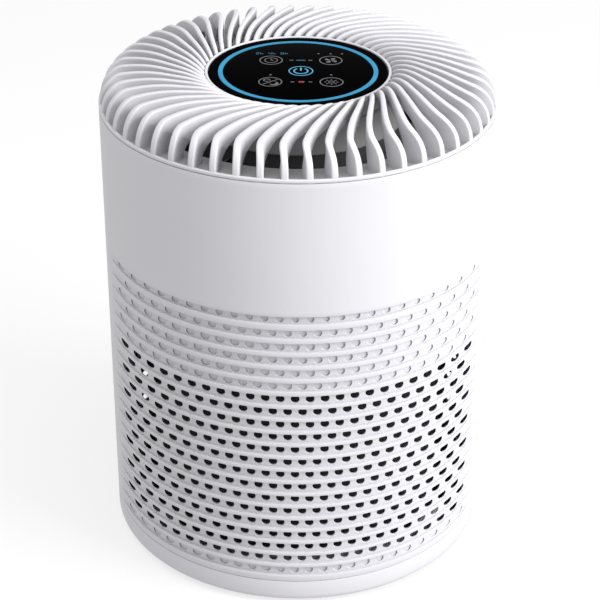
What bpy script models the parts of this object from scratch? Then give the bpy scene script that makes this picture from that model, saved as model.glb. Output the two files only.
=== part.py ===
"""Cylindrical air purifier with a swirled outlet grille, a ring filter and a twist-off base.

Lengths below are millimetres and turn into metres when a mesh is made.
The axis of the drum is Z, the front faces -Y, and the feet stand on Z = 0.
"""
import math

import bmesh
import bpy
from mathutils import Matrix, Vector

MM = 0.001
GAP = 0.3                   # play between neighbouring pieces

# ---- driving dimensions, mm ----
BODY_R = 110.0              # outside of the drum
SEAM_Z = 266.0              # seam between body shell and top grille
BASE_SEAM_Z = 16.3          # seam between body shell and base cover
DECK_Z = 150.0              # plate that splits the filter bay from the fan bay
LOWER_WALL_R = 104.5        # inside of the thick, perforated wall
UPPER_WALL_R = 107.0        # inside of the smooth band

SLOT_ROWS = 4               # each row stands for three or four rows of the moulded holes
SLOT_ROW_PITCH = 28.0
SLOT_TOP_Z = 137.0
SLOT_HEIGHT = 24.0
SLOTS_PER_SIDE = 6
SLOT_PITCH_DEG = 21.5
SLOT_DEG = 14.0

FIN_COUNT = 54
FIN_FOOT_R = 109.3
FIN_RING_R = 53.0           # outside of the grille's inner ring
FIN_SWEEP_DEG = 25.7        # turn of a fin from the rim to the inner ring
FIN_SWEEP_POWER = 2.0
FIN_LEAN_DEG = 1.8          # small counter-turn just inside the rim
FIN_LEAN_SHARE = 0.22       # part of the run in which the counter-turn grows
FIN_SHOULDER = 18.7         # fin tops above the seam, where they turn down to the rim
FIN_CREST = 21.5            # highest part of the fins above the seam
FIN_FOOT_THICK = 3.6
FIN_RING_THICK = 2.3

SHELF_R = 89.5              # inner edge of the shelf under the fins
SPIGOT_R = 106.4
SPIGOT_DEPTH = 9.0

GLASS_R = 49.1
GLASS_THICK = 2.2
CUP_R = 48.8
CUP_DEPTH = 14.0
GLASS_TOP_Z = SEAM_Z + 16.4
LIGHT_RING_R = 44.0
LIGHT_RING_WIDTH = 2.7

FILTER_R = 91.0
FILTER_CORE_R = 50.0
FILTER_BOTTOM_Z = 13.5
FILTER_TOP_Z = 146.0
GASKET_TOP_Z = 149.7

IMPELLER_R = 80.0
IMPELLER_EYE_R = 58.0
BLADE_COUNT = 9
BLADE_ROOT_R = 50.0
BLADE_BOTTOM_Z = 163.0
BLADE_SWEEP_DEG = 32.0      # how far a blade curves back from root to tip
SHROUD_Z = 161.0            # lip of the impeller's front ring
BACKPLATE_Z = 208.0
FAN_HUB_Z = 200.0
NUT_Z = 193.5
NUT_HEIGHT = 6.2
SHAFT_R = 4.0
SHAFT_BOTTOM_Z = 191.5
SHAFT_TOP_Z = 234.0
ROTOR_R = 34.0
ROTOR_TOP_Z = 228.0
STATOR_R = 27.5
STATOR_Z = 216.5
STATOR_TOP_Z = 227.0
BEARING_SEAT_R = 9.6
BEARING_HEIGHT = 4.0

BRACKET_Z = 232.3
HUB_R = 57.0
VANE_COUNT = 8
VANE_TIP_R = 94.0
VANE_BOTTOM_Z = 234.5
VANE_TOP_Z = 250.0          # at the hub
VANE_TIP_DROP = 8.0         # how much lower a vane's top is at its tip
VANE_RIM_Z = 234.0
VANE_RIM_HEIGHT = 9.0
BOARD_POST_HEIGHT = 11.0
GUARD_SPOKES = 5
DUCT_R = 96.0               # inside of the fan housing
DUCT_MOUTH_R = 90.0
DUCT_WALL = 2.5

LUG_COUNT = 4
LUG_DEG = 24.0
LEDGE_DEG = 26.0
LEDGE_Z = 19.5
LEDGE_THICK = 2.5
LEDGE_INNER_R = 100.0
STOP_RISE = 4.0             # how far a stop stands over its ledge
COLLAR_R = 97.5
COLLAR_TOP_Z = 25.0
SEAT_RING_R = 87.0          # ring in the base cover that the filter stands on
BASE_FLOOR = 2.5

FOOT_COUNT = 4
FOOT_R = 9.0
FOOT_CIRCLE_R = 88.0
FOOT_HEIGHT = 1.2

JACK_Z = 206.0
SCREW_SHANK_R = 1.5
SCREW_HOLE_R = 1.85
SCREW_HEAD_R = 3.4
SCREW_HEAD_HEIGHT = 2.2
DECK_SCREW_CIRCLE_R = 102.4
DECK_SCREW_DEG = (12.0, 168.0, 192.0, 348.0)
MOTOR_SCREW_CIRCLE_R = 17.0
BOARD_SCREW_CIRCLE_R = 34.0

DRUM_SIDES = 40
GRILLE_SIDES = 54
INNER_SIDES = 28
SMALL_SIDES = 12


# ---- materials ----
def principled(name, colour, roughness, metallic=0.0):
    """A Principled material with one colour."""
    mat = bpy.data.materials.new(name)
    mat.use_nodes = True
    shader = mat.node_tree.nodes["Principled BSDF"]
    shader.inputs["Base Color"].default_value = (*colour, 1.0)
    shader.inputs["Roughness"].default_value = roughness
    shader.inputs["Metallic"].default_value = metallic
    return mat


def make_materials():
    """The purifier's materials by plain name."""
    return {
        "white": principled("white_plastic", (0.86, 0.86, 0.88), 0.42),
        "grey": principled("grey_plastic", (0.30, 0.30, 0.32), 0.5),
        "black": principled("black_plastic", (0.03, 0.03, 0.035), 0.5),
        "glass": principled("black_glass", (0.005, 0.005, 0.007), 0.08),
        "light": principled("light_guide", (0.10, 0.42, 0.80), 0.3),
        "steel": principled("steel", (0.62, 0.62, 0.64), 0.3, 1.0),
        "winding": principled("motor_steel", (0.45, 0.36, 0.30), 0.45, 0.8),
        "board": principled("circuit_board", (0.02, 0.18, 0.07), 0.5),
        "media": principled("filter_media", (0.90, 0.90, 0.88), 0.9),
        "carbon": principled("carbon_felt", (0.035, 0.035, 0.035), 0.95),
        "mesh": principled("filter_mesh", (0.09, 0.09, 0.10), 0.8),
        "foam": principled("gasket_foam", (0.07, 0.07, 0.075), 0.95),
        "rubber": principled("rubber", (0.05, 0.05, 0.055), 0.85),
        "tab": principled("pull_tab", (0.12, 0.30, 0.62), 0.7),
        "lamp": principled("uv_lens", (0.62, 0.55, 0.85), 0.15),
    }


# ---- building blocks ----
class Shape:
    """Vertices and faces in millimetres, gathered before a mesh is made."""

    def __init__(self):
        self.verts = []
        self.faces = []

    def add(self, verts, faces):
        """Appends one closed body."""
        first = len(self.verts)
        self.verts.extend(tuple(v) for v in verts)
        self.faces.extend(tuple(first + i for i in face) for face in faces)
        return self

    def turned(self, profile, sides, centre=(0.0, 0.0)):
        """A body of revolution from a closed outline of (radius, z) points."""
        verts = []
        rings = []
        for radius, z in profile:
            if radius == 0.0:
                rings.append([len(verts)] * sides)
                verts.append((centre[0], centre[1], z))
                continue
            rings.append(list(range(len(verts), len(verts) + sides)))
            for i in range(sides):
                x, y = polar(radius, 360.0 * i / sides)
                verts.append((centre[0] + x, centre[1] + y, z))
        faces = []
        for here, there in zip(rings, rings[1:] + rings[:1]):
            for i in range(sides):
                j = (i + 1) % sides
                corners = dict.fromkeys((here[i], here[j], there[j], there[i]))
                if len(corners) > 2:
                    faces.append(tuple(corners))
        return self.add(verts, faces)

    def prism(self, outline, z0, z1):
        """An outline of (x, y) points carried from z0 up to z1."""
        n = len(outline)
        verts = [(x, y, z0) for x, y in outline] + [(x, y, z1) for x, y in outline]
        faces = [tuple(range(n)), tuple(range(n, 2 * n))]
        faces += [(i, (i + 1) % n, n + (i + 1) % n, n + i) for i in range(n)]
        return self.add(verts, faces)

    def sector(self, r0, r1, start, end, z0, z1, steps):
        """A piece of a ring between two angles in degrees."""
        angles = [start + (end - start) * i / steps for i in range(steps + 1)]
        outline = [polar(r1, a) for a in angles] + [polar(r0, a) for a in reversed(angles)]
        return self.prism(outline, z0, z1)

    def box(self, x0, x1, y0, y1, z0, z1):
        """A box between two corners."""
        return self.prism([(x0, y0), (x1, y0), (x1, y1), (x0, y1)], z0, z1)

    def cylinder(self, radius, z0, z1, sides=SMALL_SIDES, centre=(0.0, 0.0)):
        """An upright cylinder."""
        return self.turned([(0.0, z0), (radius, z0), (radius, z1), (0.0, z1)], sides, centre)

    def moved(self, matrix):
        """The same shape after a matrix."""
        self.verts = [tuple(matrix @ Vector(v)) for v in self.verts]
        return self

    def build(self, name, mat, parent=None, crisp_deg=35.0):
        """Makes the object, with its faces pointing out and round faces smooth."""
        mesh = bpy.data.meshes.new(name)
        mesh.from_pydata([[c * MM for c in v] for v in self.verts], [], self.faces)
        bm = bmesh.new()
        bm.from_mesh(mesh)
        bmesh.ops.recalc_face_normals(bm, faces=bm.faces)
        bm.to_mesh(mesh)
        bm.free()
        mesh.shade_smooth()
        mesh.set_sharp_from_angle(angle=math.radians(crisp_deg))
        mesh.materials.append(mat)
        obj = bpy.data.objects.new(name, mesh)
        bpy.context.scene.collection.objects.link(obj)
        if parent is not None:
            obj.parent = parent
        return obj


def polar(radius, degrees):
    """The (x, y) point at a radius and an angle measured from +X."""
    angle = math.radians(degrees)
    return radius * math.cos(angle), radius * math.sin(angle)


def tool(name, shape, mat):
    """A hidden object that only serves a Boolean."""
    obj = shape.build(name, mat)
    obj.hide_render = True
    obj.display_type = "WIRE"
    obj.hide_set(True)
    return obj


def boolean(target, operation, name, shape):
    """Cuts or joins a shape with the target, as a live modifier."""
    modifier = target.modifiers.new(name, "BOOLEAN")
    modifier.operation = operation
    modifier.solver = "EXACT"
    modifier.object = tool(name, shape, target.data.materials[0])
    return target


def cut(target, name, shape):
    """Takes a shape away from the target."""
    return boolean(target, "DIFFERENCE", name, shape)


def join(target, name, shape):
    """Adds a shape that overlaps the target."""
    return boolean(target, "UNION", name, shape)


def pivot(name):
    """An empty on the drum's axis that carries a moving assembly."""
    empty = bpy.data.objects.new(name, None)
    empty.empty_display_size = 20.0 * MM
    bpy.context.scene.collection.objects.link(empty)
    return empty


def lathe(name, profile, mat, sides=INNER_SIDES, parent=None, centre=(0.0, 0.0)):
    """An object turned round an upright axis."""
    return Shape().turned(profile, sides, centre).build(name, mat, parent)


def on_circle(radius, count, first_deg):
    """Evenly spaced points on a circle."""
    return [polar(radius, first_deg + 360.0 * i / count) for i in range(count)]


def screw_holes(points, z0, z1):
    """Clearance holes for screws at the given points."""
    shape = Shape()
    for point in points:
        shape.cylinder(SCREW_HOLE_R, z0, z1, SMALL_SIDES, point)
    return shape


def screws(name, points, seat_z, length, mat):
    """Pan-head screws whose heads stand just above seat_z."""
    head_z = seat_z + GAP
    for number, point in enumerate(points, start=1):
        profile = [
            (0.0, seat_z - length),
            (SCREW_SHANK_R, seat_z - length),
            (SCREW_SHANK_R, head_z),
            (SCREW_HEAD_R, head_z),
            (SCREW_HEAD_R, head_z + SCREW_HEAD_HEIGHT),
            (0.0, head_z + SCREW_HEAD_HEIGHT),
        ]
        lathe(f"{name}_{number}", profile, mat, 8, centre=point)


# ---- housing ----
def deck_screw_points():
    """Where the four screws stand that hold the deck and the fan housing."""
    return [polar(DECK_SCREW_CIRCLE_R, a) for a in DECK_SCREW_DEG]


def intake_slots():
    """Wedges that open the lower wall at the front and the back."""
    shape = Shape()
    for side_deg in (-90.0, 90.0):
        for column in range(SLOTS_PER_SIDE):
            middle = side_deg + (column - (SLOTS_PER_SIDE - 1) / 2.0) * SLOT_PITCH_DEG
            for row in range(SLOT_ROWS):
                top = SLOT_TOP_Z - row * SLOT_ROW_PITCH
                start = middle - SLOT_DEG / 2.0
                shape.sector(97.0, 117.0, start, start + SLOT_DEG, top - SLOT_HEIGHT, top, 1)
    return shape


def bayonet_ledges():
    """Inner ledges that hold the base cover's lugs, each with a stop at one end."""
    shape = Shape()
    for i in range(LUG_COUNT):
        middle = 45.0 + 360.0 * i / LUG_COUNT
        start = middle - LEDGE_DEG / 2.0
        end = start + LEDGE_DEG
        top = LEDGE_Z + LEDGE_THICK
        shape.sector(LEDGE_INNER_R, LEDGE_INNER_R + 6.0, start, end, LEDGE_Z, top, 4)
        stop = end + 0.5
        shape.sector(LEDGE_INNER_R, LEDGE_INNER_R + 6.0, stop, stop + 2.5, LEDGE_Z, top + STOP_RISE, 1)
    return shape


def make_body_shell(mats):
    """One moulding: smooth band above, slotted wall below, deck shoulder inside."""
    profile = [
        (BODY_R, BASE_SEAM_Z),
        (BODY_R, SEAM_Z - GAP),
        (UPPER_WALL_R, SEAM_Z - GAP),
        (UPPER_WALL_R, DECK_Z - GAP),
        (LOWER_WALL_R, DECK_Z - GAP),
        (LOWER_WALL_R, BASE_SEAM_Z),
    ]
    shell = lathe("body_shell", profile, mats["white"], DRUM_SIDES)
    cut(shell, "intake_slots", intake_slots())
    cut(shell, "jack_hole", Shape().cylinder(5.4, -12.0, 12.0, 16).moved(jack_place()))
    join(shell, "ledges", bayonet_ledges())
    bosses = Shape()
    for point in deck_screw_points():
        bosses.cylinder(4.6, DECK_Z - 14.0, DECK_Z - GAP, SMALL_SIDES, point)
    join(shell, "deck_bosses", bosses)
    cut(shell, "deck_boss_holes", screw_holes(deck_screw_points(), DECK_Z - 12.0, DECK_Z + 4.0))


def jack_place():
    """Puts a shape made round Z onto the back wall, pointing out along +Y."""
    place = Matrix.Translation((0.0, BODY_R, JACK_Z))
    outward = Matrix.Rotation(math.radians(-90.0), 4, "X")
    return place @ outward @ Matrix.Rotation(math.radians(11.25), 4, "Z")


def make_power_inlet(mats):
    """Low-voltage socket in the back of the smooth band."""
    barrel = [(0.0, -6.0), (5.0, -6.0), (5.0, 0.0), (2.8, 0.0), (2.8, -5.0), (0.0, -5.0)]
    jack = Shape().turned(barrel, 16).moved(jack_place()).build("power_inlet", mats["black"])
    join(jack, "jack_block", Shape().box(-6.0, 6.0, 99.4, 105.6, JACK_Z - 6.0, JACK_Z + 6.0))
    pin = Shape().cylinder(0.9, -5.5, -0.6, 8).moved(jack_place())
    join(jack, "jack_pin", pin)


def fin_angle(radius):
    """Turn of a fin, in degrees, at a radius: straight at the rim, swept at the ring."""
    inward = max(0.0, (FIN_FOOT_R - radius) / (FIN_FOOT_R - FIN_RING_R))
    grown = min(inward / FIN_LEAN_SHARE, 1.0)
    lean = grown * grown * (3.0 - 2.0 * grown)
    return FIN_SWEEP_DEG * inward ** FIN_SWEEP_POWER - FIN_LEAN_DEG * lean


def fin_stations():
    """Pairs of outer and inner edge points (radius, height above the seam) of one fin."""
    outer = []
    for degrees in (0.0, 45.0, 90.0):
        a = math.radians(degrees)
        outer.append((94.3 + 15.0 * math.cos(a), 1.2 + (FIN_SHOULDER - 1.2) * math.sin(a)))
    outer += [(84.0, FIN_CREST - 0.7), (73.0, FIN_CREST), (62.0, FIN_CREST), (56.5, FIN_CREST - 2.4)]
    outer.append((51.5, FIN_CREST - 6.5))
    inner = [(99.5, -1.0), (96.0, 6.0), (86.0, 13.0), (81.0, 13.3), (72.0, 13.5), (62.0, 13.3), (56.5, 12.9)]
    inner.append((51.5, 12.5))
    return list(zip(outer, inner))


def fin_corner(point, first_deg, side):
    """One side of a fin at an edge point, square to the fin's run in plan."""
    radius, height = point
    step = 0.5
    here = Vector(polar(radius, first_deg + fin_angle(radius)))
    further = Vector(polar(radius - step, first_deg + fin_angle(radius - step)))
    run = (further - here).normalized()
    share = (FIN_FOOT_R - radius) / (FIN_FOOT_R - FIN_RING_R)
    half = 0.5 * (FIN_FOOT_THICK + (FIN_RING_THICK - FIN_FOOT_THICK) * min(max(share, 0.0), 1.0))
    x = here.x - side * half * run.y
    y = here.y + side * half * run.x
    return x, y, SEAM_Z + height


def all_fins():
    """The ring of swirled fins, each a bent bar with a rectangular section."""
    shape = Shape()
    stations = fin_stations()
    for k in range(FIN_COUNT):
        first_deg = -90.0 + (k + 0.5) * 360.0 / FIN_COUNT
        verts = []
        for outer, inner in stations:
            verts.append(fin_corner(outer, first_deg, 1))
            verts.append(fin_corner(outer, first_deg, -1))
            verts.append(fin_corner(inner, first_deg, -1))
            verts.append(fin_corner(inner, first_deg, 1))
        last = 4 * (len(stations) - 1)
        faces = [(0, 1, 2, 3), (last, last + 1, last + 2, last + 3)]
        for row in range(0, last, 4):
            for i in range(4):
                j = (i + 1) % 4
                faces.append((row + i, row + j, row + 4 + j, row + 4 + i))
        shape.add(verts, faces)
    return shape


def make_top_grille(mats):
    """One moulding: rim with shelf and spigot, swirled fins and the inner ring."""
    rim = [
        (BODY_R, SEAM_Z),
        (BODY_R, SEAM_Z + 1.8),
        (SHELF_R, SEAM_Z - 1.2),
        (SHELF_R, SEAM_Z - 3.2),
        (SPIGOT_R - 2.6, SEAM_Z - 2.4),
        (SPIGOT_R - 2.6, SEAM_Z - SPIGOT_DEPTH),
        (SPIGOT_R, SEAM_Z - SPIGOT_DEPTH),
        (SPIGOT_R, SEAM_Z),
    ]
    grille = lathe("top_grille", rim, mats["white"], GRILLE_SIDES)
    join(grille, "fins", all_fins())
    ring = [
        (FIN_RING_R, SEAM_Z + 6.0),
        (FIN_RING_R, SEAM_Z + 17.4),
        (49.5, SEAM_Z + 17.4),
        (49.5, SEAM_Z + 6.0),
    ]
    join(grille, "inner_ring", Shape().turned(ring, GRILLE_SIDES))


def make_panel(mats):
    """Touch panel: glass with a light guide let in, on a cup that holds its board."""
    groove_in = LIGHT_RING_R - LIGHT_RING_WIDTH - GAP
    groove_out = LIGHT_RING_R + GAP
    groove_z = GLASS_TOP_Z - 1.0
    glass = [
        (0.0, GLASS_TOP_Z - GLASS_THICK),
        (GLASS_R, GLASS_TOP_Z - GLASS_THICK),
        (GLASS_R, GLASS_TOP_Z),
        (groove_out, GLASS_TOP_Z),
        (groove_out, groove_z),
        (groove_in, groove_z),
        (groove_in, GLASS_TOP_Z),
        (0.0, GLASS_TOP_Z),
    ]
    lathe("panel_glass", glass, mats["glass"], DRUM_SIDES)
    guide = [
        (LIGHT_RING_R - LIGHT_RING_WIDTH, groove_z + GAP),
        (LIGHT_RING_R, groove_z + GAP),
        (LIGHT_RING_R, GLASS_TOP_Z),
        (LIGHT_RING_R - LIGHT_RING_WIDTH, GLASS_TOP_Z),
    ]
    lathe("light_ring", guide, mats["light"], DRUM_SIDES)
    cup_top = GLASS_TOP_Z - GLASS_THICK - GAP
    step_z = cup_top - 2.4
    bore_r = CUP_R - 4.8
    cup = [
        (0.0, cup_top - CUP_DEPTH),
        (CUP_R, cup_top - CUP_DEPTH),
        (CUP_R, cup_top),
        (CUP_R - 2.2, cup_top),
        (CUP_R - 2.2, step_z),
        (bore_r, step_z),
        (bore_r, cup_top - CUP_DEPTH + 2.0),
        (0.0, cup_top - CUP_DEPTH + 2.0),
    ]
    lathe("panel_cup", cup, mats["black"])
    board_z = step_z + GAP
    board_r = CUP_R - 2.6
    board = [(0.0, board_z), (board_r, board_z), (board_r, board_z + 1.6), (0.0, board_z + 1.6)]
    lathe("control_board", board, mats["board"])


def make_motor_cover(mats):
    """Grey cone between the guide-vane hub and the grille's inner ring."""
    bottom = SEAM_Z - 8.0
    top = SEAM_Z + 6.0 - GAP
    outside = [(59.0, bottom), (54.6, top)]
    inside = [(50.0, top), (50.0, top - 2.0), (52.6, top - 2.2), (56.6, bottom)]
    cone = outside + inside
    lathe("motor_cover", cone, mats["grey"], DRUM_SIDES)


def make_fan_housing(mats):
    """Dark duct round the impeller that narrows towards the outlet."""
    foot_z = DECK_Z + 2.5 + GAP
    mouth_z = SEAM_Z - 3.8
    profile = [
        (DUCT_R, foot_z),
        (SPIGOT_R, foot_z),
        (SPIGOT_R, foot_z + DUCT_WALL),
        (DUCT_R + DUCT_WALL, foot_z + DUCT_WALL),
        (DUCT_R + DUCT_WALL, SEAM_Z - 20.0),
        (DUCT_MOUTH_R + DUCT_WALL, mouth_z),
        (DUCT_MOUTH_R, mouth_z),
        (DUCT_R, SEAM_Z - 21.0),
    ]
    housing = lathe("fan_housing", profile, mats["black"])
    cut(housing, "housing_screw_holes", screw_holes(deck_screw_points(), DECK_Z, DECK_Z + 8.0))


def make_motor_bracket(mats):
    """Cup that carries the motor, held in the duct by curved guide vanes."""
    plate = 2.6
    wall_top = SEAM_Z - 8.0 - GAP
    cup = [
        (5.0, BRACKET_Z),
        (HUB_R, BRACKET_Z),
        (HUB_R, wall_top),
        (HUB_R - 2.5, wall_top),
        (HUB_R - 2.5, BRACKET_Z + plate),
        (5.0, BRACKET_Z + plate),
    ]
    bracket = lathe("motor_bracket", cup, mats["black"])
    vanes = Shape()
    for k in range(VANE_COUNT):
        vanes.add(*guide_vane(360.0 * k / VANE_COUNT))
    join(bracket, "vanes", vanes)
    rim_top = VANE_RIM_Z + VANE_RIM_HEIGHT
    rim = [
        (VANE_TIP_R - 1.5, VANE_RIM_Z),
        (VANE_TIP_R + 1.4, VANE_RIM_Z),
        (VANE_TIP_R + 1.4, rim_top),
        (VANE_TIP_R - 1.5, rim_top),
    ]
    join(bracket, "vane_rim", Shape().turned(rim, INNER_SIDES))
    post_top = BRACKET_Z + BOARD_POST_HEIGHT
    posts = Shape()
    for point in on_circle(BOARD_SCREW_CIRCLE_R, 3, 90.0):
        posts.cylinder(3.6, BRACKET_Z + 0.5, post_top, SMALL_SIDES, point)
    join(bracket, "board_posts", posts)
    holes = screw_holes(on_circle(MOTOR_SCREW_CIRCLE_R, 3, 30.0), BRACKET_Z - 1.0, BRACKET_Z + 5.0)
    for point in on_circle(BOARD_SCREW_CIRCLE_R, 3, 90.0):
        holes.cylinder(SCREW_HOLE_R, BRACKET_Z + 4.0, post_top + 1.0, SMALL_SIDES, point)
    cut(bracket, "bracket_holes", holes)


def guide_vane(first_deg):
    """One curved vane from the hub to the rim, leaning with the swirl."""
    steps = 2
    half = 0.9
    verts = []
    for i in range(steps + 1):
        share = i / steps
        radius = HUB_R - 1.0 + (VANE_TIP_R - HUB_R + 1.0) * share
        for lean_deg, z in ((-5.0, VANE_BOTTOM_Z), (5.0, VANE_TOP_Z - VANE_TIP_DROP * share)):
            middle = first_deg + 18.0 * share ** 2 + lean_deg
            spread = math.degrees(half / radius)
            verts.append((*polar(radius, middle - spread), z))
            verts.append((*polar(radius, middle + spread), z))
    faces = [(0, 1, 3, 2), (4 * steps, 4 * steps + 1, 4 * steps + 3, 4 * steps + 2)]
    loop = (0, 1, 3, 2)
    for row in range(0, 4 * steps, 4):
        for a, b in zip(loop, loop[1:] + loop[:1]):
            faces.append((row + a, row + b, row + 4 + b, row + 4 + a))
    return verts, faces


def make_motor(mats):
    """Fixed half of the outer-rotor motor: stator with two bearings."""
    flange_top = BRACKET_Z - GAP
    flange_r = 20.8
    profile = [
        (BEARING_SEAT_R, STATOR_Z),
        (STATOR_R, STATOR_Z),
        (STATOR_R, STATOR_TOP_Z),
        (flange_r, STATOR_TOP_Z + 1.0),
        (flange_r, flange_top),
        (BEARING_SEAT_R, flange_top),
    ]
    stator = lathe("motor_stator", profile, mats["winding"], 24)
    points = on_circle(MOTOR_SCREW_CIRCLE_R, 3, 30.0)
    cut(stator, "stator_holes", screw_holes(points, BRACKET_Z - 9.3, BRACKET_Z + 3.7))
    bore = SHAFT_R + GAP
    rim = BEARING_SEAT_R - GAP
    for name, z in (("bearing_lower", STATOR_Z + 0.5), ("bearing_upper", STATOR_TOP_Z + 0.5)):
        top = z + BEARING_HEIGHT
        lathe(name, [(bore, z), (rim, z), (rim, top), (bore, top)], mats["steel"], 24)
    screws("motor_screw", points, BRACKET_Z + 2.6, 9.0, mats["steel"])


def make_driver_board(mats):
    """Round board that runs the motor, screwed to posts in the bracket cup."""
    bottom = BRACKET_Z + BOARD_POST_HEIGHT + GAP
    points = on_circle(BOARD_SCREW_CIRCLE_R, 3, 90.0)
    profile = [(0.0, bottom), (42.0, bottom), (42.0, bottom + 1.6), (0.0, bottom + 1.6)]
    board = lathe("driver_board", profile, mats["board"], 24)
    cut(board, "board_holes", screw_holes(points, bottom - 1.0, bottom + 3.0))
    screws("board_screw", points, bottom + 1.6, 8.0, mats["steel"])


def make_deck(mats):
    """Bell-mouthed plate over the filter, held by four screws with the duct."""
    profile = [
        (52.0, DECK_Z),
        (SPIGOT_R, DECK_Z),
        (SPIGOT_R, DECK_Z + 2.5),
        (60.0, DECK_Z + 2.5),
        (56.5, DECK_Z + 5.0),
        (55.5, DECK_Z + 10.0),
        (53.5, DECK_Z + 10.0),
        (53.0, DECK_Z + 4.0),
    ]
    deck = lathe("inlet_ring", profile, mats["black"])
    cut(deck, "deck_holes", screw_holes(deck_screw_points(), DECK_Z - 2.0, DECK_Z + 5.0))
    foot_top = DECK_Z + 2.5 + GAP + DUCT_WALL
    screws("deck_screw", deck_screw_points(), foot_top, 14.0, mats["steel"])


def make_inlet_guard(mats):
    """Finger guard in the deck's mouth, with the UV lamp under its middle."""
    guard_z = DECK_Z + 0.2
    top = guard_z + 2.0
    outer = [(49.2, guard_z), (51.6, guard_z), (51.6, top), (49.2, top)]
    guard = lathe("inlet_guard", outer, mats["black"])
    middle = [(30.0, guard_z), (32.0, guard_z), (32.0, top), (30.0, top)]
    join(guard, "guard_ring", Shape().turned(middle, 24))
    join(guard, "guard_disc", Shape().cylinder(13.0, guard_z, top, 24))
    spokes = Shape()
    for k in range(GUARD_SPOKES):
        spoke = Shape().box(12.0, 50.0, -1.0, 1.0, guard_z + 0.1, guard_z + 1.9)
        spoke.moved(Matrix.Rotation(math.radians(360.0 * k / GUARD_SPOKES), 4, "Z"))
        spokes.add(spoke.verts, spoke.faces)
    join(guard, "guard_spokes", spokes)
    board_z = guard_z - GAP - 1.6
    board_top = board_z + 1.6
    board = [(0.0, board_z), (11.0, board_z), (11.0, board_top), (0.0, board_top)]
    lathe("uv_board", board, mats["board"], 24)
    lamp_z = board_z - GAP
    dome = [(0.0, lamp_z - 2.4), (2.2, lamp_z - 1.8), (3.0, lamp_z), (0.0, lamp_z)]
    lathe("uv_lamp", dome, mats["lamp"], SMALL_SIDES)


# ---- fan ----
def blade_outline(first_deg):
    """Plan outline of one backward-curved blade."""
    steps = 3
    line = []
    for i in range(steps + 1):
        share = i / steps
        radius = BLADE_ROOT_R + (IMPELLER_R - 1.5 - BLADE_ROOT_R) * share
        line.append((radius, first_deg - BLADE_SWEEP_DEG * share ** 0.8))
    half = 0.9
    outer = [polar(r, a + math.degrees(half / r)) for r, a in line]
    inner = [polar(r, a - math.degrees(half / r)) for r, a in line]
    return outer + inner[::-1]


def make_fan(mats):
    """Impeller, outer rotor and shaft, all on the fan's axle."""
    axle = pivot("fan_axle")
    plate_top = BACKPLATE_Z + 2.0
    hub = [
        (SHAFT_R + GAP, FAN_HUB_Z),
        (12.0, FAN_HUB_Z),
        (16.0, BACKPLATE_Z),
        (IMPELLER_R, BACKPLATE_Z),
        (IMPELLER_R, plate_top),
        (SHAFT_R + GAP, plate_top),
    ]
    impeller = lathe("impeller", hub, mats["grey"], INNER_SIDES, axle)
    blades = Shape()
    for k in range(BLADE_COUNT):
        blades.prism(blade_outline(360.0 * k / BLADE_COUNT), BLADE_BOTTOM_Z, BACKPLATE_Z + 0.8)
    join(impeller, "blades", blades)
    shroud = [
        (IMPELLER_EYE_R, SHROUD_Z),
        (64.0, SHROUD_Z + 5.5),
        (IMPELLER_R, SHROUD_Z + 10.0),
        (IMPELLER_R, SHROUD_Z + 12.0),
        (64.0, SHROUD_Z + 7.8),
        (IMPELLER_EYE_R, SHROUD_Z + 3.0),
    ]
    join(impeller, "shroud", Shape().turned(shroud, INNER_SIDES))

    can_z = plate_top + GAP
    can_in = ROTOR_R - 2.0
    can = [
        (SHAFT_R + GAP, can_z),
        (ROTOR_R, can_z),
        (ROTOR_R, ROTOR_TOP_Z),
        (can_in, ROTOR_TOP_Z),
        (can_in, can_z + 2.0),
        (SHAFT_R + GAP, can_z + 2.0),
    ]
    lathe("rotor_can", can, mats["steel"], 24, axle)
    magnet_in = STATOR_R + 0.9
    magnet_out = can_in - 0.4
    low = can_z + 2.6
    high = ROTOR_TOP_Z - 1.0
    magnet = [(magnet_in, low), (magnet_out, low), (magnet_out, high), (magnet_in, high)]
    lathe("rotor_magnet", magnet, mats["black"], 24, axle)
    shaft = Shape().cylinder(SHAFT_R, SHAFT_BOTTOM_Z, SHAFT_TOP_Z, 16)
    shaft.build("motor_shaft", mats["steel"], axle)
    hexagon = [polar(8.0, 60.0 * k) for k in range(6)]
    nut_shape = Shape().prism(hexagon, NUT_Z, NUT_Z + NUT_HEIGHT)
    nut = nut_shape.build("impeller_nut", mats["steel"], axle)
    bore = Shape().cylinder(SHAFT_R + GAP, NUT_Z - 3.0, NUT_Z + NUT_HEIGHT + 3.0, 16)
    cut(nut, "nut_bore", bore)


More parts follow.
